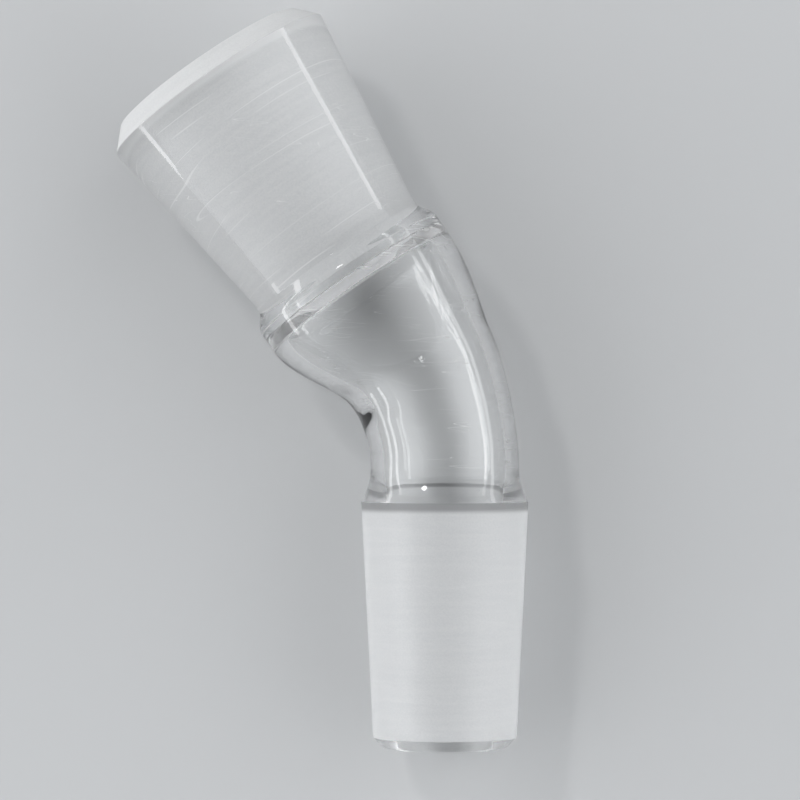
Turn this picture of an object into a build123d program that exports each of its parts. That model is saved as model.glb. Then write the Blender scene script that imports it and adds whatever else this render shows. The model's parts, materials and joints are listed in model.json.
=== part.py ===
"""Bent joint adapter of lab glass: a ground cone, a bent blown bulb and a ground socket.

The adapter is one piece of glass. It is shaped in the plane of its bend, with the cone's
axis along +Y, the tip of the cone at the origin and the socket leaning towards -X. Then it
is laid down as it comes to rest: +Z is up, and the origin is on the surface it lies on,
under the middle of its box.
"""
from build123d import *
import math
import os

# Driving dimensions, in millimetres and degrees.

# Both ground joints are the same size, so a second adapter's cone seats in this socket.
JOINT_DIAMETER = 18.8        # large end of the ground taper
JOINT_LENGTH = 26.5          # ground length of the cone, and of the socket's bore
JOINT_TAPER = 0.1            # change in diameter for each millimetre of length

# The cone and its fire-polished tip.
TIP_LENGTH = 1.3             # clear glass below the ground zone
TIP_INSET = 1.2              # how far the tip slopes in over that length
TIP_ROUND = 1.4
TIP_BORE_ROUND = 0.5
CONE_BORE_DIAMETER = 11.4    # at the tip, narrowed by the tool that shaped the cone
SHOULDER_LENGTH = 2.4        # from the ground zone down to the drawn tube
SHOULDER_ROUND = 6.0
STUB_LENGTH = 1.8            # straight tube between the shoulder and the bend

# The drawn tube and its bend.
TUBE_DIAMETER = 16.7
TUBE_WALL = 1.5
BEND_ANGLE = 34.5            # between the two joint axes
BEND_RADIUS = 18.0           # of the tube's centre line
OUTSIDE_SWELL_START = 2.6    # from the start of the bend, where its outside begins to swell
INSIDE_SWELL_START = 11.6    # the same on the inside, which the bend holds back
CREASE_DEPTH = 0.35          # how far the inside of the bend is pushed in
CREASE_REACH = 2.8           # length of tube that the crease takes up, each way
CREASE_WALL = 0.8            # extra glass gathered behind the crease

# The bulb between the bend and the socket.
BULB_STEP = 1.15             # how far the bulb stands out past the neck
BULB_WALL = 2.0
BULB_SHOULDER = 1.7          # length in which the bulb steps in to the neck
BULB_ROUND = 1.4

# The socket, which starts at the neck.
NECK_DISTANCE = 21.2         # from the crossing of the two axes to the neck
NECK_WALL = 2.6              # glass between the neck and the ground bore
NECK_LENGTH = 1.3            # straight neck before the socket flares
RIM_WALL = 4.6               # glass between the widest part of the rim and the bore
RIM_BEVEL_LENGTH = 2.3       # ground bevel round the mouth, along the axis
RIM_BEVEL_DEPTH = 2.1        # the same bevel, across the axis
MOUTH_BAND = 1.7             # clear glass between the mouth and the ground zone
MOUTH_LEAD = 0.35            # how far the bore opens over that band
BORE_PAST_NECK = 1.9         # how far the ground bore runs on below the neck
BORE_LIP = 0.8               # clear lip below the ground bore
BORE_SLOPE = 1.6             # length in which the bulb's inside narrows to that lip
BORE_ROUND = 0.5

BULB_MARGIN = 0.3            # full width of the bulb kept below the bore's slope
STATIONS = 13                # sections through the bend and the bulb
SIDE_SHARE = 0.98            # part of a straight side that the roundings at its ends may take

# The search for the way it lies.
HEADINGS = 24                # directions tried at each step
FINEST_STEP = 1e-6

# Sizes that follow from them. Distances up the socket are from the crossing of the axes.
JOINT_RADIUS = JOINT_DIAMETER / 2
CONE_SMALL_RADIUS = JOINT_RADIUS - JOINT_TAPER * JOINT_LENGTH / 2
CONE_TOP = TIP_LENGTH + JOINT_LENGTH
BEND_START = CONE_TOP + SHOULDER_LENGTH + STUB_LENGTH
TUBE_RADIUS = TUBE_DIAMETER / 2
TURN = math.radians(BEND_ANGLE)
ARC_LENGTH = BEND_RADIUS * TURN
TANGENT_LENGTH = BEND_RADIUS * math.tan(TURN / 2)
CROSSING = BEND_START + TANGENT_LENGTH

BORE_BOTTOM = NECK_DISTANCE - BORE_PAST_NECK
MOUTH = BORE_BOTTOM + JOINT_LENGTH + MOUTH_BAND
LIP_BOTTOM = BORE_BOTTOM - BORE_LIP
BULB_TOP = NECK_DISTANCE - BULB_SHOULDER
BULB_START = LIP_BOTTOM - BORE_SLOPE - BULB_MARGIN
NECK_RADIUS = CONE_SMALL_RADIUS + JOINT_TAPER * BORE_PAST_NECK / 2 + NECK_WALL
BULB_RADIUS = NECK_RADIUS + BULB_STEP
RIM_RADIUS = JOINT_RADIUS + RIM_WALL
BEND_LENGTH = ARC_LENGTH + BULB_START - TANGENT_LENGTH


def fitted_roundings(corners):
    """Rounding of each corner, made smaller where two of them would meet on a short side."""
    places = [Vector(radius, distance, 0) for radius, distance, _ in corners]
    sides = [after - place for place, after in zip(places, places[1:] + places[:1])]
    reaches = []
    for corner, before, after in zip(corners, sides[-1:] + sides[:-1], sides):
        turn = math.radians(before.get_angle(after))
        reaches.append(corner[2] * math.tan(turn / 2))
    shares = []
    for side, reach, next_reach in zip(sides, reaches, reaches[1:] + reaches[:1]):
        needed = reach + next_reach
        shares.append(min(1, SIDE_SHARE * side.length / needed) if needed else 1)
    return [
        corner[2] * min(share_before, share)
        for corner, share_before, share in zip(corners, shares[-1:] + shares[:-1], shares)
    ]


def turned(*corners):
    """Ring of glass turned about the Y axis, from corners of (radius, distance, rounding)."""
    section = make_face(Polyline(*[corner[:2] for corner in corners], close=True))
    for (radius, distance, _), rounding in zip(corners, fitted_roundings(corners)):
        if rounding:
            corner = section.vertices().sort_by_distance((radius, distance, 0))[0]
            section = fillet(corner, rounding)
    return revolve(section, Axis.Y)


def cone():
    """Tip, ground cone, shoulder and the straight stub of the tube."""
    bore_radius = TUBE_RADIUS - TUBE_WALL
    return turned(
        (CONE_BORE_DIAMETER / 2, 0, TIP_BORE_ROUND),
        (CONE_SMALL_RADIUS - TIP_INSET, 0, TIP_ROUND),
        (CONE_SMALL_RADIUS, TIP_LENGTH, 0),
        (JOINT_RADIUS, CONE_TOP, 0),
        (TUBE_RADIUS, CONE_TOP + SHOULDER_LENGTH, SHOULDER_ROUND),
        (TUBE_RADIUS, BEND_START, 0),
        (bore_radius, BEND_START, 0),
        (bore_radius, CONE_TOP, 0),
    )


def socket():
    """Top of the bulb, neck, flared socket with its ground bore, and the bevelled rim."""
    bore_end_radius = CONE_SMALL_RADIUS - JOINT_TAPER * BORE_LIP / 2
    bulb_bore_radius = BULB_RADIUS - BULB_WALL
    ring = turned(
        (BULB_RADIUS, BULB_START, 0),
        (BULB_RADIUS, BULB_TOP, BULB_ROUND),
        (NECK_RADIUS, NECK_DISTANCE, 0),
        (NECK_RADIUS, NECK_DISTANCE + NECK_LENGTH, 0),
        (RIM_RADIUS, MOUTH - RIM_BEVEL_LENGTH, 0),
        (RIM_RADIUS - RIM_BEVEL_DEPTH, MOUTH, 0),
        (JOINT_RADIUS + MOUTH_LEAD, MOUTH, 0),
        (JOINT_RADIUS, MOUTH - MOUTH_BAND, 0),
        (CONE_SMALL_RADIUS, BORE_BOTTOM, 0),
        (bore_end_radius, LIP_BOTTOM, BORE_ROUND),
        (bulb_bore_radius, LIP_BOTTOM - BORE_SLOPE, BORE_ROUND),
        (bulb_bore_radius, BULB_START, 0),
    )
    return Pos(0, CROSSING, 0) * Rot(0, 0, BEND_ANGLE) * ring


def across_bend(along):
    """Plane across the tube at a distance along its centre line, with x to the outside."""
    turn = min(along / BEND_RADIUS, TURN)
    straight = max(along - ARC_LENGTH, 0)
    outward = Vector(math.cos(turn), math.sin(turn), 0)
    forward = Vector(-math.sin(turn), math.cos(turn), 0)
    pivot = Vector(-BEND_RADIUS, BEND_START, 0)
    return Plane(pivot + outward * BEND_RADIUS + forward * straight, outward, forward)


def eased(along, start, first, last):
    """Size that goes smoothly from first, at start, to last, where the bulb is full."""
    part = min(max((along - start) / (BEND_LENGTH - start), 0), 1)
    return first + (last - first) * part * part * (3 - 2 * part)


def creased(along):
    """Strength of the crease inside the bend, from 0 to 1 at its middle."""
    offset = min(abs(along - INSIDE_SWELL_START) / CREASE_REACH, 1)
    return (1 - offset * offset) ** 2


def bend_skin(inner):
    """Solid inside the outer skin of the bend and bulb, or inside the inner skin."""
    sections = []
    for station in range(STATIONS):
        along = BEND_LENGTH * station / (STATIONS - 1)
        outside = eased(along, OUTSIDE_SWELL_START, TUBE_RADIUS, BULB_RADIUS)
        inside = eased(along, INSIDE_SWELL_START, TUBE_RADIUS, BULB_RADIUS)
        inside -= CREASE_DEPTH * creased(along)
        if inner:
            wall = eased(along, OUTSIDE_SWELL_START, TUBE_WALL, BULB_WALL)
            outside -= wall
            inside -= wall + CREASE_WALL * creased(along)
        centre = Pos((outside - inside) / 2, 0, 0)
        sections.append(across_bend(along) * centre * Circle((outside + inside) / 2))
    return loft(sections)


def upright_adapter():
    """The whole adapter in the plane of its bend, as one piece of glass."""
    bend = bend_skin(inner=False) - bend_skin(inner=True)
    return cone() + bend + socket()


def lying_direction(mass_centre):
    """Direction that points up when the adapter lies still, before it is turned.

    It lies on hoops of its widest places. The height of the mass centre over the surface
    that carries them is least where it rests, and is found by ever smaller steps.
    """
    corner = Vector(0, CROSSING, 0)
    cone_axis = Vector(0, 1, 0)
    socket_axis = Vector(-math.sin(TURN), math.cos(TURN), 0)
    hoops = (
        (cone_axis * TIP_LENGTH, cone_axis, CONE_SMALL_RADIUS),
        (cone_axis * CONE_TOP, cone_axis, JOINT_RADIUS),
        (corner + socket_axis * BULB_START, socket_axis, BULB_RADIUS),
        (corner + socket_axis * BULB_TOP, socket_axis, BULB_RADIUS),
        (corner + socket_axis * (MOUTH - RIM_BEVEL_LENGTH), socket_axis, RIM_RADIUS),
    )

    def up(lean):
        return Vector(lean[0], lean[1], 1).normalized()

    def height(lean):
        return max(
            (mass_centre - centre).dot(up(lean))
            + radius * math.sqrt(1 - axis.dot(up(lean)) ** 2)
            for centre, axis, radius in hoops
        )

    lean, step = (0.0, 0.0), 0.1
    while step > FINEST_STEP:
        headings = [2 * math.pi * n / HEADINGS for n in range(HEADINGS)]
        tries = [(lean[0] + step * math.cos(a), lean[1] + step * math.sin(a)) for a in headings]
        lowest = min(tries, key=height)
        if height(lowest) < height(lean):
            lean = lowest
        else:
            step /= 2
    return up(lean)


def laid_down(upright):
    """The adapter turned to lie at rest, with the origin under the middle of its box."""
    up = lying_direction(upright.center(CenterOf.MASS))
    surface = Plane(origin=(0, 0, 0), x_dir=Vector(0, 1, 0).cross(up), z_dir=up)
    lying = surface.to_local_coords(upright)
    box = lying.bounding_box()
    return Pos(-box.center().X, -box.center().Y, -box.min.Z) * lying


os.makedirs("parts", exist_ok=True)
glass_adapter = laid_down(upright_adapter())
export_step(glass_adapter, "parts/glass_adapter.step")
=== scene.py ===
"""Bent joint adapter of lab glass, lying at rest on a pale floor.

The glass is one piece: a ground cone, a bent tube that is blown into a bulb, and a ground
socket with a bevelled rim. It is modelled in millimetres in the plane of its bend, with the
cone's axis along +Y, the middle of the cone's tip at the origin and the socket leaning towards
-X. Then it is laid where the frame's two joints say.
"""

import json
import logging
import math
from dataclasses import dataclass, field
from enum import Enum

import bpy
from mathutils import Matrix, Vector, noise


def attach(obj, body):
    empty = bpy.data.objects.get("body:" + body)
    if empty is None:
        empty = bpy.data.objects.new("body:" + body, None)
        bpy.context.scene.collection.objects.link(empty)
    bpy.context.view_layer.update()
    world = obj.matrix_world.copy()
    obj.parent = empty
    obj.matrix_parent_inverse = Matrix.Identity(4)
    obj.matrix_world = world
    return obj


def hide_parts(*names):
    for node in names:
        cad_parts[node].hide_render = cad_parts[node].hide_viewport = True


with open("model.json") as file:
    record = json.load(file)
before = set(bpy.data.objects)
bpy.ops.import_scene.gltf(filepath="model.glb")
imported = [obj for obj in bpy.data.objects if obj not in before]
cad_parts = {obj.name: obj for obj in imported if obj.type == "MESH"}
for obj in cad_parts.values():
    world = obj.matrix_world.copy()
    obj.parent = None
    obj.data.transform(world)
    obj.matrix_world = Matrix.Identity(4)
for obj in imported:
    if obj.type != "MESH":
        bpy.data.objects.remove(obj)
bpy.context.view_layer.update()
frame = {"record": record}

MILLIMETRE = 0.001

log = logging.getLogger("adapter")


class Skin(Enum):
    """The two skins of the glass."""

    OUTER = "outer"
    INNER = "inner"


class Surface(Enum):
    """The finishes of the glass, numbered as the piece's material slots."""

    CLEAR = 0
    CONE = 1
    BORE = 2
    RIM = 3


@dataclass(frozen=True)
class Corner:
    """Corner of a turned outline, in millimetres."""

    radius: float
    distance: float
    rounding: float = 0.0

    @property
    def place(self) -> Vector:
        """The corner as a point of the outline."""
        return Vector((self.radius, self.distance))


@dataclass(frozen=True)
class Ring:
    """Circle of the glass's skin, in the plane of the bend."""

    centre: Vector
    turn: float
    radius: float


@dataclass(frozen=True)
class Outline:
    """Rounded outline of a turned part, given as corners.

    Attributes:
        corners: The outline's corners in order. The first and the last aren't rounded.
        arc_step: Largest turn between two points of a rounding, in degrees.
        run_step: Longest stretch of a straight run.
        hold: Distance from the ends of a run at which it gets an extra point, to keep it flat.
    """

    corners: tuple[Corner, ...]
    arc_step: float = 7.0
    run_step: float = 1.6
    hold: float = 0.12

    def _rounding(self, before: Corner, corner: Corner, after: Corner) -> list[Vector]:
        """Points of the arc that rounds one corner.

        Args:
            before: The corner before it.
            corner: The corner to round.
            after: The corner after it.

        Returns:
            The arc's points, or the corner alone where it stays sharp.
        """
        if not corner.rounding:
            return [corner.place]
        coming = (corner.place - before.place).normalized()
        going = (after.place - corner.place).normalized()
        turn = math.atan2(coming.cross(going), coming.dot(going))
        reach = corner.rounding * math.tan(abs(turn) / 2)
        start = corner.place - coming * reach
        side = Vector((-coming.y, coming.x)) * math.copysign(1, turn)
        steps = max(2, math.ceil(abs(math.degrees(turn)) / self.arc_step))
        points = []
        for step in range(steps + 1):
            swept = abs(turn) * step / steps
            along = coming * math.sin(swept) + side * (1 - math.cos(swept))
            points.append(start + along * corner.rounding)
        return points

    def _run(self, start: Vector, end: Vector) -> list[Vector]:
        """Points between the ends of a straight run.

        Args:
            start: The run's first point.
            end: The run's last point.

        Returns:
            Points inside the run, evenly spaced, with one close to each end.
        """
        length = (end - start).length
        if length < 3 * self.hold:
            return []
        steps = max(1, math.ceil((length - 2 * self.hold) / self.run_step))
        spacing = (length - 2 * self.hold) / steps
        ahead = (end - start).normalized()
        return [start + ahead * (self.hold + spacing * step) for step in range(steps + 1)]

    def points(self) -> list[Vector]:
        """The whole outline as (radius, distance) points, from the first corner to the last."""
        bends = [[self.corners[0].place]]
        for before, corner, after in zip(self.corners, self.corners[1:], self.corners[2:]):
            bends.append(self._rounding(before, corner, after))
        bends.append([self.corners[-1].place])
        outline = list(bends[0])
        for bend in bends[1:]:
            outline += self._run(outline[-1], bend[0])
            outline += bend
        return outline


@dataclass(frozen=True)
class ConeEnd:
    """Ground cone with its fire-polished tip, and the shoulder up to the tube."""

    large_radius: float = 9.4
    ground_length: float = 26.5
    taper: float = 0.05
    tip_length: float = 1.3
    tip_inset: float = 1.2
    tip_round: float = 1.4
    tip_flat_radius: float = 6.22
    tip_bore_radius: float = 5.7
    tip_bore_round: float = 0.5
    shoulder_length: float = 2.4
    shoulder_round: float = 6.0
    stub_length: float = 1.8
    edge_round: float = 0.07

    @property
    def small_radius(self) -> float:
        """Radius of the ground zone next to the tip."""
        return self.large_radius - self.taper * self.ground_length

    @property
    def top(self) -> float:
        """Distance from the tip to the ground zone's large end."""
        return self.tip_length + self.ground_length

    @property
    def end(self) -> float:
        """Distance from the tip to the start of the bend."""
        return self.top + self.shoulder_length + self.stub_length

    def outline(self, skin: Skin, tube_radius: float) -> Outline:
        """One skin of the cone.

        Args:
            skin: The skin to draw. The inner one goes from the tube back to the tip.
            tube_radius: Radius of that skin where the tube starts.

        Returns:
            The outline, with distances from the tip.
        """
        if skin is Skin.INNER:
            return Outline((
                Corner(tube_radius, self.end),
                Corner(tube_radius, self.top, self.shoulder_round),
                Corner(self.tip_bore_radius, 0.0, self.tip_bore_round),
                Corner(self.tip_flat_radius, 0.0),
            ))
        return Outline((
            Corner(self.tip_flat_radius, 0.0),
            Corner(self.small_radius - self.tip_inset, 0.0, self.tip_round),
            Corner(self.small_radius, self.tip_length, self.edge_round),
            Corner(self.large_radius, self.top, self.edge_round),
            Corner(tube_radius, self.top + self.shoulder_length, self.shoulder_round),
            Corner(tube_radius, self.end),
        ))


@dataclass(frozen=True)
class SocketEnd:
    """Top of the bulb, neck, flared socket with its ground bore, and the bevelled rim.

    Distances are from the crossing of the two joint axes.
    """

    large_radius: float = 9.4
    ground_length: float = 26.5
    taper: float = 0.05
    neck_distance: float = 21.2
    neck_wall: float = 2.6
    neck_length: float = 1.3
    neck_round: float = 0.3
    bulb_step: float = 1.15
    bulb_wall: float = 2.0
    bulb_shoulder: float = 1.7
    bulb_round: float = 1.4
    bore_past_neck: float = 1.9
    bore_lip: float = 0.8
    bore_slope: float = 1.6
    bore_round: float = 0.5
    bulb_margin: float = 0.3
    mouth_band: float = 1.7
    mouth_lead: float = 0.35
    rim_wall: float = 4.6
    bevel_length: float = 2.3
    bevel_depth: float = 2.1
    edge_round: float = 0.1

    @property
    def small_radius(self) -> float:
        """Radius of the ground bore at its lower end."""
        return self.large_radius - self.taper * self.ground_length

    @property
    def bore_bottom(self) -> float:
        """Lower end of the ground bore."""
        return self.neck_distance - self.bore_past_neck

    @property
    def bore_top(self) -> float:
        """Upper end of the ground bore."""
        return self.bore_bottom + self.ground_length

    @property
    def mouth(self) -> float:
        """Flat face of the mouth."""
        return self.bore_top + self.mouth_band

    @property
    def start(self) -> float:
        """Distance at which the bulb is full and the socket's part starts."""
        return self.bore_bottom - self.bore_lip - self.bore_slope - self.bulb_margin

    @property
    def neck_radius(self) -> float:
        """Outer radius of the neck."""
        return self.small_radius + self.taper * self.bore_past_neck + self.neck_wall

    @property
    def bulb_radius(self) -> float:
        """Outer radius of the bulb."""
        return self.neck_radius + self.bulb_step

    def outline(self) -> Outline:
        """Both skins of the socket, up the outside, over the rim and down the bore."""
        rim_radius = self.large_radius + self.rim_wall
        lip = self.bore_bottom - self.bore_lip
        bulb_bore = self.bulb_radius - self.bulb_wall
        return Outline((
            Corner(self.bulb_radius, self.start),
            Corner(self.bulb_radius, self.neck_distance - self.bulb_shoulder, self.bulb_round),
            Corner(self.neck_radius, self.neck_distance, self.neck_round),
            Corner(self.neck_radius, self.neck_distance + self.neck_length, self.neck_round),
            Corner(rim_radius, self.mouth - self.bevel_length, 2 * self.edge_round),
            Corner(rim_radius - self.bevel_depth, self.mouth, self.edge_round),
            Corner(self.large_radius + self.mouth_lead, self.mouth, self.edge_round),
            Corner(self.large_radius, self.bore_top, self.edge_round),
            Corner(self.small_radius, self.bore_bottom, self.edge_round),
            Corner(self.small_radius - self.taper * self.bore_lip, lip, self.bore_round),
            Corner(bulb_bore, lip - self.bore_slope, self.bore_round),
            Corner(bulb_bore, self.start),
        ))


@dataclass(frozen=True)
class BentBulb:
    """Tube that is bent, and blown into the bulb that carries the socket."""

    tube_radius: float = 8.35
    tube_wall: float = 1.5
    bend_angle: float = 34.5
    bend_radius: float = 18.0
    outside_swell_start: float = 2.6
    inside_swell_start: float = 11.6
    crease_depth: float = 0.2
    crease_reach: float = 4.8
    crease_wall: float = 0.25
    wander: float = 0.1
    wander_pace: float = 0.22
    wander_shift: tuple[float, float] = (4.7, 1.3)
    ring_spacing: float = 0.45

    @property
    def turn(self) -> float:
        """Angle between the two joint axes, in radians."""
        return math.radians(self.bend_angle)

    @property
    def arc_length(self) -> float:
        """Length of the bent part of the tube's centre line."""
        return self.bend_radius * self.turn

    @property
    def tangent_length(self) -> float:
        """Distance from either end of the bend to the crossing of the axes."""
        return self.bend_radius * math.tan(self.turn / 2)

    def _eased(self, along: float, start: float, length: float, first: float, last: float) -> float:
        """Size that goes smoothly from first to last.

        Args:
            along: Distance along the centre line.
            start: Where the change begins.
            length: Length of the whole centre line, where the change ends.
            first: Size before the change.
            last: Size after it.

        Returns:
            The size at that distance.
        """
        part = min(max((along - start) / (length - start), 0.0), 1.0)
        return first + (last - first) * part * part * (3 - 2 * part)

    def _wandered(self, along: float, length: float) -> float:
        """Drift of the blown inner wall, from -1 to 1, and none at the ends of the bend."""
        fade = math.sin(math.pi * along / length)
        return fade * noise.noise(Vector((self.wander_pace * along, *self.wander_shift)))

    def _creased(self, along: float) -> float:
        """Strength of the crease inside the bend, from 0 to 1 at its middle."""
        offset = min(abs(along - self.inside_swell_start) / self.crease_reach, 1.0)
        return (1 - offset * offset) ** 2

    def _ring(self, along: float, length: float, skin: Skin, start: float, socket: SocketEnd) -> Ring:
        """Ring of one skin across the bend.

        Args:
            along: Distance along the centre line from the start of the bend.
            length: Length of the centre line up to the full bulb.
            skin: The skin that the ring lies on.
            start: Distance from the cone's tip to the start of the bend.
            socket: The socket that the bulb runs into.

        Returns:
            The ring in the plane of the bend.
        """
        bulb = socket.bulb_radius
        outside = self._eased(along, self.outside_swell_start, length, self.tube_radius, bulb)
        inside = self._eased(along, self.inside_swell_start, length, self.tube_radius, bulb)
        inside -= self.crease_depth * self._creased(along)
        if skin is Skin.INNER:
            wall = self._eased(
                along, self.outside_swell_start, length, self.tube_wall, socket.bulb_wall
            )
            drift = self.wander * self._wandered(along, length)
            outside -= wall + drift
            inside -= wall - drift + self.crease_wall * self._creased(along)
        turn = min(along / self.bend_radius, self.turn)
        outward = Vector((math.cos(turn), math.sin(turn), 0.0))
        forward = Vector((-math.sin(turn), math.cos(turn), 0.0))
        pivot = Vector((-self.bend_radius, start, 0.0))
        middle = pivot + outward * (self.bend_radius + (outside - inside) / 2)
        middle += forward * max(along - self.arc_length, 0.0)
        return Ring(middle, turn, (outside + inside) / 2)

    def rings(self, skin: Skin, start: float, socket: SocketEnd) -> list[Ring]:
        """Rings of one skin of the bend.

        Args:
            skin: The skin to make. The inner one goes from the bulb back to the tube.
            start: Distance from the cone's tip to the start of the bend.
            socket: The socket that the bulb runs into.

        Returns:
            Evenly spaced rings from one end of the bend to the other.
        """
        length = self.arc_length + socket.start - self.tangent_length
        count = math.ceil(length / self.ring_spacing)
        rings = [
            self._ring(length * n / count, length, skin, start, socket) for n in range(count + 1)
        ]
        return rings if skin is Skin.OUTER else rings[::-1]


@dataclass(frozen=True)
class Fold:
    """Place where the soft glass was pushed by the bending, in the plane of the bend.

    Attributes:
        place: Point of the skin that moved furthest.
        push: How far it moved.
        reach: Distance over which the skin around it followed.
    """

    place: tuple[float, float, float]
    push: tuple[float, float, float]
    reach: float


class RingModeller:
    """Pulls a skin of glass out of one circle, ring by ring, with the mesh tools."""

    SEGMENTS = 216
    MERGE_DISTANCE = 0.002
    SAME_TURN = 1e-7

    def __init__(self, name: str, first: Ring) -> None:
        """Start with one open circle.

        Args:
            name: Name of the piece.
            first: The ring to start from.
        """
        bpy.ops.object.select_all(action="DESELECT")
        bpy.ops.mesh.primitive_circle_add(
            vertices=self.SEGMENTS,
            radius=first.radius,
            location=first.centre,
            rotation=(math.pi / 2, 0.0, first.turn),
        )
        self.piece = bpy.context.object
        self.piece.name = name
        self.piece.data.name = name
        bpy.ops.object.transform_apply(location=True, rotation=True, scale=True)
        bpy.ops.object.mode_set(mode="EDIT")
        bpy.ops.mesh.select_mode(type="EDGE")
        bpy.ops.mesh.select_all(action="SELECT")
        self.last = first

    def pull(self, ring: Ring) -> None:
        """Extrude the last circle to the next one.

        Args:
            ring: The ring to reach. One that lies on the last ring is passed over.
        """
        step = ring.centre - self.last.centre
        if max(step.length, abs(ring.radius - self.last.radius)) < self.MERGE_DISTANCE:
            return
        bpy.ops.mesh.extrude_region_move(TRANSFORM_OT_translate={"value": step})
        if abs(ring.turn - self.last.turn) > self.SAME_TURN:
            bpy.ops.transform.rotate(
                value=self.last.turn - ring.turn, orient_axis="Z", center_override=ring.centre
            )
        growth = ring.radius / self.last.radius
        bpy.ops.transform.resize(value=(growth, growth, growth), center_override=ring.centre)
        self.last = ring

    def press(self, fold: Fold) -> None:
        """Push the skin at one point, with the skin around it following softly.

        Args:
            fold: The fold to press.
        """
        bpy.ops.mesh.select_all(action="DESELECT")
        bpy.ops.mesh.select_mode(type="VERT")
        bpy.ops.object.mode_set(mode="OBJECT")
        middle = Vector(fold.place)
        nearest = min(self.piece.data.vertices, key=lambda vertex: (vertex.co - middle).length)
        nearest.select = True
        bpy.ops.object.mode_set(mode="EDIT")
        bpy.ops.transform.translate(
            value=fold.push,
            use_proportional_edit=True,
            proportional_edit_falloff="SMOOTH",
            proportional_size=fold.reach,
            use_proportional_connected=True,
        )

    def close(self) -> bpy.types.Object:
        """Merge the last circle with the first and turn the faces outwards.

        Returns:
            The finished piece, in object mode.
        """
        bpy.ops.mesh.select_all(action="SELECT")
        bpy.ops.mesh.remove_doubles(threshold=self.MERGE_DISTANCE)
        bpy.ops.mesh.normals_make_consistent(inside=False)
        bpy.ops.object.mode_set(mode="OBJECT")
        return self.piece


class NodeSheet:
    """Adds nodes to a material or a group and links them."""

    def __init__(self, tree: bpy.types.NodeTree) -> None:
        """Start a sheet on a node tree.

        Args:
            tree: The tree that the nodes go into.
        """
        self.tree = tree

    def add(self, kind: str, **settings: object) -> bpy.types.Node:
        """Add a node.

        Args:
            kind: The node's type.
            settings: Properties of the node.

        Returns:
            The new node.
        """
        node = self.tree.nodes.new(kind)
        for name, value in settings.items():
            setattr(node, name, value)
        return node

    def feed(self, socket: bpy.types.NodeSocket, value: object) -> None:
        """Link another node's output to a socket, or set the socket's own value.

        Args:
            socket: The input to feed.
            value: An output socket, a number or a tuple.
        """
        if isinstance(value, bpy.types.NodeSocket):
            self.tree.links.new(value, socket)
        else:
            socket.default_value = value

    def math(self, operation: str, first: object, second: object = 0.5) -> bpy.types.NodeSocket:
        """Arithmetic on two values.

        Args:
            operation: Name of the operation.
            first: First value or output.
            second: Second value or output.

        Returns:
            The result's output.
        """
        node = self.add("ShaderNodeMath", operation=operation)
        self.feed(node.inputs[0], first)
        self.feed(node.inputs[1], second)
        return node.outputs[0]

    def spread(self, value: object, low: object, high: object, to_low: float = 0.0,
               to_high: float = 1.0) -> bpy.types.NodeSocket:
        """Map a range of values smoothly onto another.

        Args:
            value: Value or output to map.
            low: Value that becomes to_low.
            high: Value that becomes to_high.
            to_low: Result at low.
            to_high: Result at high.

        Returns:
            The mapped output.
        """
        node = self.add("ShaderNodeMapRange", interpolation_type="SMOOTHSTEP")
        for socket, number in zip(node.inputs, (value, low, high, to_low, to_high)):
            self.feed(socket, number)
        return node.outputs[0]

    def noise(self, place: object, scale: object, detail: float = 2.0) -> bpy.types.NodeSocket:
        """Cloudy noise.

        Args:
            place: Output that gives the place.
            scale: How fine the noise is.
            detail: How many finer layers it has.

        Returns:
            The noise value, about 0.5 on average.
        """
        node = self.add("ShaderNodeTexNoise")
        self.feed(node.inputs["Vector"], place)
        self.feed(node.inputs["Scale"], scale)
        node.inputs["Detail"].default_value = detail
        return node.outputs["Fac"]

    def stretched(self, place: object, scale: tuple[float, float, float],
                  shift: tuple[float, float, float] = (0.0, 0.0, 0.0)) -> bpy.types.NodeSocket:
        """Place stretched along its axes.

        Args:
            place: Output that gives the place.
            scale: Factor along each axis.
            shift: Distance added afterwards.

        Returns:
            The stretched place.
        """
        node = self.add("ShaderNodeMapping")
        self.feed(node.inputs["Vector"], place)
        node.inputs["Scale"].default_value = scale
        node.inputs["Location"].default_value = shift
        return node.outputs["Vector"]

    def mixed(self, share: object, first: object, second: object) -> bpy.types.NodeSocket:
        """Mix two colours.

        Args:
            share: Share of the second colour, from 0 to 1.
            first: First colour.
            second: Second colour.

        Returns:
            The mixed colour.
        """
        node = self.add("ShaderNodeMix", data_type="RGBA")
        self.feed(node.inputs["Factor"], share)
        self.feed(node.inputs["A"], first)
        self.feed(node.inputs["B"], second)
        return node.outputs["Result"]


def new_group(name: str, inputs: dict[str, tuple[str, object]],
              outputs: tuple[str, ...]) -> tuple[NodeSheet, bpy.types.Node, bpy.types.Node]:
    """Start a shader node group.

    Args:
        name: Name of the group.
        inputs: For each input its socket type and its first value.
        outputs: Names of the outputs, all plain values.

    Returns:
        The group's sheet, its input node and its output node.
    """
    tree = bpy.data.node_groups.new(name, "ShaderNodeTree")
    for label, (kind, value) in inputs.items():
        socket = tree.interface.new_socket(name=label, in_out="INPUT", socket_type=kind)
        if value is not None:
            socket.default_value = value
    for label in outputs:
        tree.interface.new_socket(name=label, in_out="OUTPUT", socket_type="NodeSocketFloat")
    sheet = NodeSheet(tree)
    return sheet, sheet.add("NodeGroupInput"), sheet.add("NodeGroupOutput")


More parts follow.
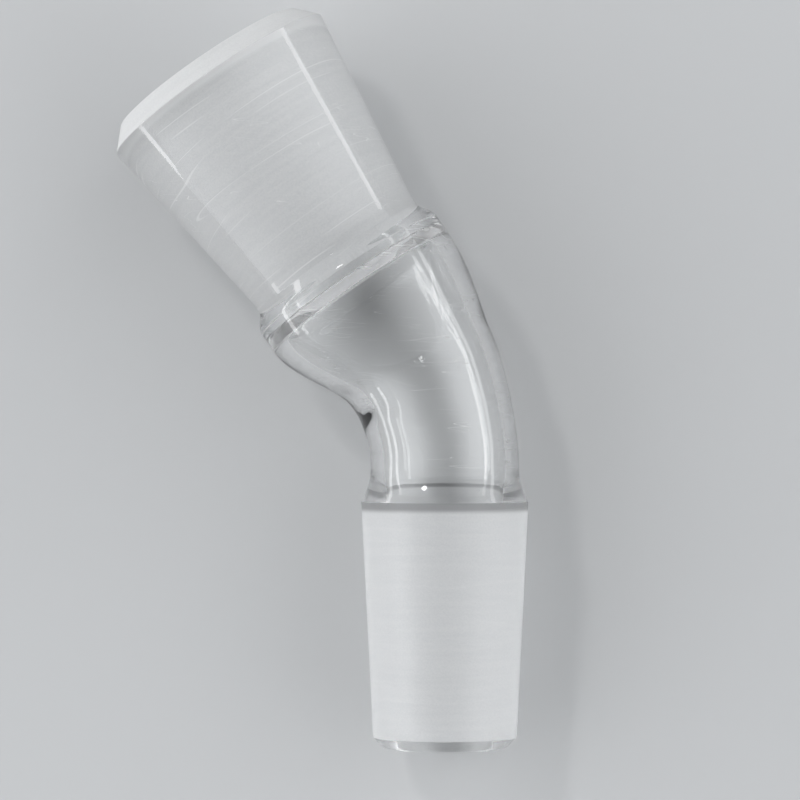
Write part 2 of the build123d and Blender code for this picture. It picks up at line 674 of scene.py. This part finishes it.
@dataclass(frozen=True)
class GrindingMarks:
    """Marks that grinding leaves on a joint: fine grain, soft mottling and rings round the axis.

    Attributes:
        grain: How fine the grain is when a finish doesn't say.
        streak_scale: How fine the mottling is along each axis.
        stray_scale: How fine the noise is that sets the rings unevenly apart.
        stray_shift: Place in that noise.
        ring_rate: Rings for each millimetre along the axis.
        ring_stray: How far the rings stray from even spacing, in rings.
        ring_edge: Share of the spacing within which a ring shows in full, and at all.
        fading_scale: How fine the noise is that breaks the rings off.
        fading_shift: Place in that noise.
        fading_range: Noise below which a ring is gone, and above which it shows in full.
        grain_share: Share of the grain in the tone. The rest is mottling.
    """

    grain: float = 5.0
    streak_scale: tuple[float, float, float] = (0.1, 1.7, 0.1)
    stray_scale: tuple[float, float, float] = (0.02, 0.3, 0.02)
    stray_shift: tuple[float, float, float] = (3.1, 0.4, 7.7)
    ring_rate: float = 0.33
    ring_stray: float = 4.0
    ring_edge: tuple[float, float] = (0.008, 0.03)
    fading_scale: tuple[float, float, float] = (0.11, 0.5, 0.11)
    fading_shift: tuple[float, float, float] = (5.0, 2.0, 9.0)
    fading_range: tuple[float, float] = (0.42, 0.62)
    grain_share: float = 0.6

    def _ring_line(self, sheet: NodeSheet, place: bpy.types.NodeSocket) -> bpy.types.NodeSocket:
        """Thin broken rings round the axis.

        Args:
            sheet: The group's sheet.
            place: Place in millimetres with the joint's axis along Y.

        Returns:
            A mask that is 1 on a ring.
        """
        along = sheet.add("ShaderNodeSeparateXYZ")
        sheet.feed(along.inputs["Vector"], place)
        stray = sheet.noise(sheet.stretched(place, self.stray_scale, self.stray_shift), 1.0, 0.0)
        turns = sheet.math("MULTIPLY", along.outputs["Y"], self.ring_rate)
        turns = sheet.math("ADD", turns, sheet.math("MULTIPLY", stray, self.ring_stray))
        line = sheet.spread(sheet.math("PINGPONG", turns, 0.5), *self.ring_edge, 1.0, 0.0)
        fading = sheet.noise(sheet.stretched(place, self.fading_scale, self.fading_shift), 1.0, 0.0)
        return sheet.math("MULTIPLY", line, sheet.spread(fading, *self.fading_range))

    def group(self) -> bpy.types.NodeTree:
        """Make the node group. Place is in millimetres with the joint's axis along Y.

        Returns:
            The group, with a height for the bump, a tone from 0 to 1 and a mask of the rings.
        """
        value, vector = "NodeSocketFloat", "NodeSocketVector"
        sheet, given, made = new_group(
            "grinding_marks",
            {"Place": (vector, None), "Grain": (value, self.grain), "Rings": (value, 1.0)},
            ("Height", "Tone", "Ring Mask"),
        )
        place = given.outputs["Place"]
        grain = sheet.noise(place, given.outputs["Grain"], 1.0)
        streak = sheet.noise(sheet.stretched(place, self.streak_scale), 1.0, 2.0)
        tone = sheet.math(
            "ADD",
            sheet.math("MULTIPLY", grain, self.grain_share),
            sheet.math("MULTIPLY", streak, 1 - self.grain_share),
        )
        ring = sheet.math("MULTIPLY", self._ring_line(sheet, place), given.outputs["Rings"])
        sheet.feed(made.inputs["Height"], grain)
        sheet.feed(made.inputs["Tone"], tone)
        sheet.feed(made.inputs["Ring Mask"], ring)
        return sheet.tree


@dataclass(frozen=True)
class HairlineScratches:
    """Short hairline scratches.

    Attributes:
        scale: How fine the noise is whose contour lines are the scratches.
        shift: Place in that noise.
        edge: Width of a scratch, as a difference in that noise.
        break_scale: How fine the noise is that breaks the scratches off.
        break_shift: Place in that noise.
        break_range: Noise below which a scratch is gone, and above which it shows in full.
    """

    scale: tuple[float, float, float] = (0.05, 0.8, 0.09)
    shift: tuple[float, float, float] = (1.0, 4.0, 2.0)
    edge: float = 0.003
    break_scale: tuple[float, float, float] = (0.2, 0.2, 0.2)
    break_shift: tuple[float, float, float] = (8.0, 1.0, 3.0)
    break_range: tuple[float, float] = (0.56, 0.6)

    def group(self) -> bpy.types.NodeTree:
        """Make the node group. Place is in millimetres.

        Returns:
            The group, with a mask of the scratches.
        """
        sheet, given, made = new_group(
            "hairline_scratches", {"Place": ("NodeSocketVector", None)}, ("Scratch Mask",)
        )
        place = given.outputs["Place"]
        level = sheet.noise(sheet.stretched(place, self.scale, self.shift), 1.0, 1.0)
        line = sheet.math("ABSOLUTE", sheet.math("SUBTRACT", level, 0.5))
        line = sheet.spread(line, 0.0, self.edge, 1.0, 0.0)
        broken = sheet.noise(sheet.stretched(place, self.break_scale, self.break_shift), 1.0, 0.0)
        scratch = sheet.math("MULTIPLY", line, sheet.spread(broken, *self.break_range))
        sheet.feed(made.inputs["Scratch Mask"], scratch)
        return sheet.tree


def material_sheet(name: str) -> tuple[bpy.types.Material, NodeSheet, bpy.types.Node]:
    """Start a material.

    Args:
        name: Name of the material.

    Returns:
        The material, its sheet and its shader.
    """
    material = bpy.data.materials.new(name)
    material.use_nodes = True
    return material, NodeSheet(material.node_tree), material.node_tree.nodes["Principled BSDF"]


def joint_place(sheet: NodeSheet, to_row: Matrix) -> bpy.types.NodeSocket:
    """Place in millimetres in a joint's own frame, with its axis along Y.

    Args:
        sheet: The sheet to add the nodes to.
        to_row: Matrix from the joint's frame, in millimetres, to the row's frame, in metres.

    Returns:
        The place's output.
    """
    shift, turn, scale = to_row.inverted().decompose()
    node = sheet.add("ShaderNodeMapping")
    sheet.feed(node.inputs["Vector"], sheet.add("ShaderNodeTexCoord").outputs["Object"])
    node.inputs["Location"].default_value = shift
    node.inputs["Rotation"].default_value = turn.to_euler("XYZ")
    node.inputs["Scale"].default_value = scale
    return node.outputs["Vector"]


@dataclass(frozen=True)
class ClearGlass:
    """Fire-polished glass with the faint ripple of blowing and hairline scratches."""

    name: str = "clear_glass"
    tint: tuple[float, float, float, float] = (0.995, 0.998, 0.997, 1.0)
    index: float = 1.474
    gloss: float = 0.0
    worn_roughness: float = 0.55
    ripple_scale: tuple[float, float, float] = (1.0, 0.22, 1.0)
    ripple_rate: float = 0.32
    ripple_depth: float = 0.006

    def material(self, scratches: bpy.types.NodeTree, to_row: Matrix) -> bpy.types.Material:
        """Make the material.

        Args:
            scratches: The group of scratches.
            to_row: Matrix from the cone's frame, in millimetres, to the row's frame.

        Returns:
            The material.
        """
        material, sheet, shader = material_sheet(self.name)
        place = joint_place(sheet, to_row)
        marks = sheet.add("ShaderNodeGroup", node_tree=scratches)
        sheet.feed(marks.inputs["Place"], place)
        worn = marks.outputs["Scratch Mask"]
        shader.inputs["Transmission Weight"].default_value = 1.0
        shader.inputs["IOR"].default_value = self.index
        shader.inputs["Base Color"].default_value = self.tint
        roughness = sheet.spread(worn, 0.0, 1.0, self.gloss, self.worn_roughness)
        sheet.feed(shader.inputs["Roughness"], roughness)
        drawn = sheet.noise(sheet.stretched(place, self.ripple_scale), self.ripple_rate, 0.0)
        bump = sheet.add("ShaderNodeBump")
        bump.inputs["Distance"].default_value = MILLIMETRE
        bump.inputs["Strength"].default_value = 1.0
        sheet.feed(bump.inputs["Height"], sheet.math("MULTIPLY", drawn, self.ripple_depth))
        sheet.feed(shader.inputs["Normal"], bump.outputs["Normal"])
        return material


@dataclass(frozen=True)
class Band:
    """Stretch of a ground joint whose colour differs, here to paint in shade and glow, in millimetres
    along the joint's axis.

    Attributes:
        start: Where it begins to show.
        full: Where it shows in full. It stays so beyond that place.
        colour: Its colour.
    """

    start: float
    full: float
    colour: tuple[float, float, float, float]


@dataclass(frozen=True)
class GroundGlass:
    """Matt ground glass with fine grain and the rings that grinding leaves.

    Attributes:
        name: Name of the material.
        pale: Colour of the paler patches.
        deep: Colour of the deeper patches.
        bands: Stretches of painted shade and painted glow, each laid over those before it.
        ring_colour: Colour of the grinding rings.
        tone_range: Tone of the marks that takes the deep colour, and the pale one.
        roughness: Lowest and highest roughness.
        clearness: Share of light that goes through.
        grain: How fine the grain is.
        rings: Strength of the rings.
        depth: Height of the grain in millimetres.
        index: Refractive index.
    """

    name: str
    pale: tuple[float, float, float, float]
    deep: tuple[float, float, float, float]
    bands: tuple[Band, ...] = ()
    ring_colour: tuple[float, float, float, float] = (1.0, 1.0, 1.0, 1.0)
    tone_range: tuple[float, float] = (0.3, 0.7)
    roughness: tuple[float, float] = (0.7, 0.85)
    clearness: float = 0.5
    grain: float = 5.0
    rings: float = 1.0
    depth: float = 0.01
    index: float = 1.474

    def material(self, grinding: bpy.types.NodeTree, to_row: Matrix) -> bpy.types.Material:
        """Make the material.

        Args:
            grinding: The group of grinding marks.
            to_row: Matrix from the joint's frame, in millimetres, to the row's frame.

        Returns:
            The material.
        """
        material, sheet, shader = material_sheet(self.name)
        place = joint_place(sheet, to_row)
        marks = sheet.add("ShaderNodeGroup", node_tree=grinding)
        sheet.feed(marks.inputs["Place"], place)
        marks.inputs["Grain"].default_value = self.grain
        marks.inputs["Rings"].default_value = self.rings
        shader.inputs["Transmission Weight"].default_value = self.clearness
        shader.inputs["IOR"].default_value = self.index
        tone = sheet.spread(marks.outputs["Tone"], *self.tone_range)
        colour = sheet.mixed(tone, self.deep, self.pale)
        along = sheet.add("ShaderNodeSeparateXYZ")
        sheet.feed(along.inputs["Vector"], place)
        for band in self.bands:
            share = sheet.spread(along.outputs["Y"], band.start, band.full)
            colour = sheet.mixed(share, colour, band.colour)
        colour = sheet.mixed(marks.outputs["Ring Mask"], colour, self.ring_colour)
        sheet.feed(shader.inputs["Base Color"], colour)
        sheet.feed(shader.inputs["Roughness"], sheet.spread(tone, 0.0, 1.0, *self.roughness))
        bump = sheet.add("ShaderNodeBump")
        bump.inputs["Distance"].default_value = MILLIMETRE * self.depth
        bump.inputs["Strength"].default_value = 1.0
        sheet.feed(bump.inputs["Height"], marks.outputs["Height"])
        sheet.feed(shader.inputs["Normal"], bump.outputs["Normal"])
        return material


@dataclass
class GlassAdapter:
    """The whole adapter: cone, bent bulb and socket, made as one piece of glass.

    Attributes:
        name: Name of the visible piece.
        node: The CAD node that it replaces.
        body: The body that it rides on.
        slot: Name of a material slot; not used.
        cone: The ground cone.
        bulb: The bent tube and the bulb.
        socket: The ground socket.
        folds: Folds inside the bend.
        cone_shade_band: Start and full strength of the painted shade at the cone's top end, measured
            down from its top.
        bore_glow_band: Start and full strength of the painted glow at the bore's top end, measured down
            from its top.
        ground_margin: Slack with which a face is told to be ground.
        sharp_angle: Angle in degrees above which an edge shows as an edge.
    """

    name: str = "bent_glass_adapter"
    node: str = "glass_adapter"
    body: str = "root"
    slot: str = "glass"
    cone: ConeEnd = field(default_factory=ConeEnd)
    bulb: BentBulb = field(default_factory=BentBulb)
    socket: SocketEnd = field(default_factory=SocketEnd)
    folds: tuple[Fold, ...] = (
        Fold((-8.5, 39.8, 1.0), (-0.18, 0.16, 0.05), 2.6),
        Fold((-9.6, 41.6, -2.0), (0.12, 0.15, 0.1), 3.4),
    )
    cone_shade_band: tuple[float, float] = (1.3, 0.6)
    bore_glow_band: tuple[float, float] = (1.0, 0.4)
    ground_margin: float = 0.05
    sharp_angle: float = 24.0

    @property
    def crossing(self) -> Vector:
        """Point where the two joint axes cross, in the plane of the bend."""
        return Vector((0.0, self.cone.end + self.bulb.tangent_length, 0.0))

    @property
    def socket_frame(self) -> Matrix:
        """Matrix from the socket's frame to the plane of the bend."""
        return Matrix.Translation(self.crossing) @ Matrix.Rotation(self.bulb.turn, 4, "Z")

    def to_row(self) -> Matrix:
        """Matrix from the plane of the bend, in millimetres, to the row's frame, in metres."""
        mounts = {mount["name"]: mount for mount in frame["record"]["mounts"]}
        cone_axis = -Vector(mounts["cone"]["axis"])
        normal = cone_axis.cross(Vector(mounts["socket"]["axis"])).normalized()
        turned = Matrix((cone_axis.cross(normal), cone_axis, normal)).transposed().to_4x4()
        top = Vector(mounts["cone"]["pos_m"])
        tip = top - cone_axis * self.cone.top * MILLIMETRE
        return Matrix.Translation(tip) @ turned @ Matrix.Scale(MILLIMETRE, 4)

    def rings(self) -> list[Ring]:
        """Every ring of the skin, from the tip up the outside and back down the inside."""
        tube, wall = self.bulb.tube_radius, self.bulb.tube_wall
        turn = self.bulb.turn
        outer_cone = self.cone.outline(Skin.OUTER, tube).points()
        inner_cone = self.cone.outline(Skin.INNER, tube - wall).points()
        rings = [Ring(Vector((0.0, y, 0.0)), 0.0, radius) for radius, y in outer_cone]
        rings += self.bulb.rings(Skin.OUTER, self.cone.end, self.socket)
        for radius, y in self.socket.outline().points():
            rings.append(Ring(self.socket_frame @ Vector((0.0, y, 0.0)), turn, radius))
        rings += self.bulb.rings(Skin.INNER, self.cone.end, self.socket)
        rings += [Ring(Vector((0.0, y, 0.0)), 0.0, radius) for radius, y in inner_cone]
        return rings

    def surface_at(self, place: Vector) -> Surface:
        """Finish of the glass at a place in the plane of the bend.

        Args:
            place: Middle of a face.

        Returns:
            The finish of that face.
        """
        margin = self.ground_margin
        cone, socket = self.cone, self.socket
        radius = math.hypot(place.x, place.z)
        if cone.tip_length < place.y < cone.top and radius > cone.small_radius - margin:
            return Surface.CONE
        up_socket = self.socket_frame.inverted() @ place
        radius = math.hypot(up_socket.x, up_socket.z)
        lead = socket.large_radius + socket.mouth_lead + margin
        if up_socket.y > socket.mouth - socket.bevel_length and radius > lead:
            return Surface.RIM
        if up_socket.y > socket.bore_bottom and radius < lead:
            return Surface.BORE
        return Surface.CLEAR

    def build(self) -> bpy.types.Object:
        """Model the glass and lay it in its place in the row's frame.

        Returns:
            The piece, with its place in its mesh.
        """
        rings = self.rings()
        modeller = RingModeller(self.name, rings[0])
        for ring in rings[1:]:
            modeller.pull(ring)
        for fold in self.folds:
            modeller.press(fold)
        piece = modeller.close()
        for polygon in piece.data.polygons:
            polygon.material_index = self.surface_at(polygon.center).value
        piece.matrix_world = self.to_row()
        bpy.ops.object.transform_apply(location=True, rotation=True, scale=True)
        bpy.ops.object.shade_smooth_by_angle(angle=math.radians(self.sharp_angle))
        return piece

    def dress(self, piece: bpy.types.Object) -> None:
        """Give the glass its finishes and tie it to the frame.

        Args:
            piece: The modelled glass.
        """
        grinding, scratches = GrindingMarks().group(), HairlineScratches().group()
        cone_frame = self.to_row()
        socket_frame = cone_frame @ self.socket_frame
        cone_top, bore_top = self.cone.top, self.socket.bore_top
        # Painted shade: the top end of the cone's ground zone is coloured dark grey, to stand for the
        # shadow there.
        cone_painted_shade = Band(*(cone_top - down for down in self.cone_shade_band), (0.36, 0.36, 0.365, 1.0))
        # Painted glow: the top end of the bore is coloured white, to stand for light glowing there.
        bore_painted_glow = Band(*(bore_top - down for down in self.bore_glow_band), (1.0, 1.0, 1.0, 1.0))
        finishes = {
            Surface.CLEAR: ClearGlass().material(scratches, cone_frame),
            Surface.CONE: GroundGlass(
                "ground_cone_glass", (0.88, 0.88, 0.88, 1.0), (0.81, 0.815, 0.82, 1.0),
                bands=(cone_painted_shade,), clearness=0.55, rings=0.15,
            ).material(grinding, cone_frame),
            Surface.BORE: GroundGlass(
                "ground_bore_glass", (0.88, 0.88, 0.88, 1.0), (0.8, 0.805, 0.81, 1.0),
                bands=(bore_painted_glow,), clearness=0.12,
            ).material(grinding, socket_frame),
            Surface.RIM: GroundGlass(
                "ground_rim_glass", (0.78, 0.78, 0.775, 1.0), (0.71, 0.71, 0.71, 1.0),
                clearness=0.3, rings=0.1,
            ).material(grinding, socket_frame),
        }
        for surface in Surface:
            piece.data.materials.append(finishes[surface])
        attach(piece, self.body)
        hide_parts(self.node)


@dataclass(frozen=True)
class SoftBox:
    """Soft lamp, placed by its direction from the object.

    Attributes:
        name: Name of the lamp.
        bearing: Direction seen from above, in degrees from +X towards +Y.
        height: Angle above the floor, in degrees.
        distance: Distance from the object in metres.
        width: Width of the lamp's face in metres.
        length: Length of the lamp's face in metres.
        power: Power in watts.
    """

    name: str
    bearing: float
    height: float
    distance: float
    width: float
    length: float
    power: float

    def build(self) -> None:
        """Hang the lamp, facing the object."""
        bearing, height = math.radians(self.bearing), math.radians(self.height)
        away = Vector((
            math.cos(height) * math.cos(bearing),
            math.cos(height) * math.sin(bearing),
            math.sin(height),
        ))
        bpy.ops.object.light_add(type="AREA", location=away * self.distance)
        lamp = bpy.context.object
        lamp.name = self.name
        lamp.rotation_euler = away.to_track_quat("Z", "Y").to_euler()
        lamp.data.shape = "RECTANGLE"
        lamp.data.size = self.width
        lamp.data.size_y = self.length
        lamp.data.energy = self.power


@dataclass(frozen=True)
class Studio:
    """Pale floor, soft surroundings that are brighter at both sides, and mild lamps.

    Attributes:
        floor_size: Side of the floor in metres.
        floor_colour: Colour of the floor's paler patches.
        floor_shade: Colour of its darker patches.
        cloud_rate: How fine the floor's patches are.
        cloud_range: Noise that takes the darker colour, and the paler one.
        floor_roughness: Roughness of the floor.
        world_colour: Colour of the surroundings.
        side_light: Strength of the surroundings to the left and right.
        middle_light: Strength overhead and at both ends.
        side_range: Share of the direction along X at which the sides begin, and are full.
        lamps: The lamps.
    """

    floor_size: float = 4.0
    floor_colour: tuple[float, float, float, float] = (0.6, 0.605, 0.61, 1.0)
    floor_shade: tuple[float, float, float, float] = (0.585, 0.59, 0.595, 1.0)
    cloud_rate: float = 9.0
    cloud_range: tuple[float, float] = (0.35, 0.65)
    floor_roughness: float = 0.8
    world_colour: tuple[float, float, float, float] = (0.96, 0.98, 1.0, 1.0)
    side_light: float = 2.0
    middle_light: float = 0.25
    side_range: tuple[float, float] = (0.15, 0.95)
    lamps: tuple[SoftBox, ...] = (
        SoftBox("lamp_left", 180.0, 6.0, 0.6, 0.9, 0.06, 0.75),
        SoftBox("lamp_right", 0.0, 6.0, 0.6, 0.9, 0.06, 0.6),
        SoftBox("lamp_above", 125.0, 52.0, 0.8, 0.1, 0.1, 0.8),
    )

    def floor(self) -> bpy.types.Object:
        """Lay the floor.

        Returns:
            The floor.
        """
        bpy.ops.mesh.primitive_plane_add(size=self.floor_size)
        floor = bpy.context.object
        floor.name = "floor"
        material, sheet, shader = material_sheet("pale_floor")
        place = sheet.add("ShaderNodeTexCoord").outputs["Object"]
        cloud = sheet.spread(sheet.noise(place, self.cloud_rate, 4.0), *self.cloud_range)
        sheet.feed(shader.inputs["Base Color"], sheet.mixed(cloud, self.floor_shade, self.floor_colour))
        shader.inputs["Roughness"].default_value = self.floor_roughness
        floor.data.materials.append(material)
        return floor

    def world(self) -> None:
        """Fill the surroundings with soft light."""
        world = bpy.data.worlds.new("surroundings")
        bpy.context.scene.world = world
        world.use_nodes = True
        sheet = NodeSheet(world.node_tree)
        direction = sheet.add("ShaderNodeSeparateXYZ")
        sheet.feed(direction.inputs["Vector"], sheet.add("ShaderNodeTexCoord").outputs["Generated"])
        sideways = sheet.math("ABSOLUTE", direction.outputs["X"])
        strength = sheet.spread(sideways, *self.side_range, self.middle_light, self.side_light)
        background = world.node_tree.nodes["Background"]
        background.inputs["Color"].default_value = self.world_colour
        sheet.feed(background.inputs["Strength"], strength)

    def build(self) -> None:
        """Set up the floor, the surroundings and the lamps."""
        self.floor()
        self.world()
        for lamp in self.lamps:
            lamp.build()


@dataclass(frozen=True)
class PhotoCamera:
    """Camera at the photograph's viewing angle, looking at the plane of the bend.

    Attributes:
        frame_width: Width of the photograph in pixels.
        tip_pixel: Where the middle of the cone's tip is in the photograph.
        pixel_size: Width of a pixel at the object in metres.
        distance: Distance from the camera to the cone's axis in metres.
        lean: Angle by which the socket leans away from the camera, in degrees.
        sensor: Width of the camera's sensor in millimetres.
        clip_start: Nearest distance that the camera sees, in metres.
    """

    frame_width: float = 800.0
    tip_pixel: tuple[float, float] = (444.8, 748.7)
    pixel_size: float = 0.11257 * MILLIMETRE
    distance: float = 0.540
    lean: float = 6.0
    sensor: float = 36.0
    clip_start: float = 0.01

    def build(self, adapter: GlassAdapter) -> None:
        """Place the camera and make it the scene's.

        Args:
            adapter: The adapter, which gives the plane of the bend.
        """
        leaned = adapter.to_row() @ Matrix.Rotation(math.radians(self.lean), 4, "Y")
        axes = leaned.to_3x3().normalized()
        right, up, towards = axes.col
        across = (self.frame_width / 2 - self.tip_pixel[0]) * self.pixel_size
        above = (self.tip_pixel[1] - self.frame_width / 2) * self.pixel_size
        place = leaned.translation + right * across + up * above + towards * self.distance
        bpy.ops.object.camera_add(location=place)
        camera = bpy.context.object
        camera.name = "camera"
        camera.matrix_world = Matrix.Translation(place) @ axes.to_4x4()
        camera.data.sensor_width = self.sensor
        camera.data.lens = self.sensor * self.distance / (self.frame_width * self.pixel_size)
        camera.data.clip_start = self.clip_start
        bpy.context.scene.camera = camera


def main() -> None:
    """Build the adapter, the studio and the camera."""
    logging.basicConfig(level=logging.INFO, format="%(message)s")
    adapter = GlassAdapter()
    piece = adapter.build()
    adapter.dress(piece)
    log.info("%s: %d faces", piece.name, len(piece.data.polygons))
    Studio().build()
    PhotoCamera().build(adapter)
    bpy.context.scene.view_settings.view_transform = "Standard"


if __name__ == "__main__":
    main()
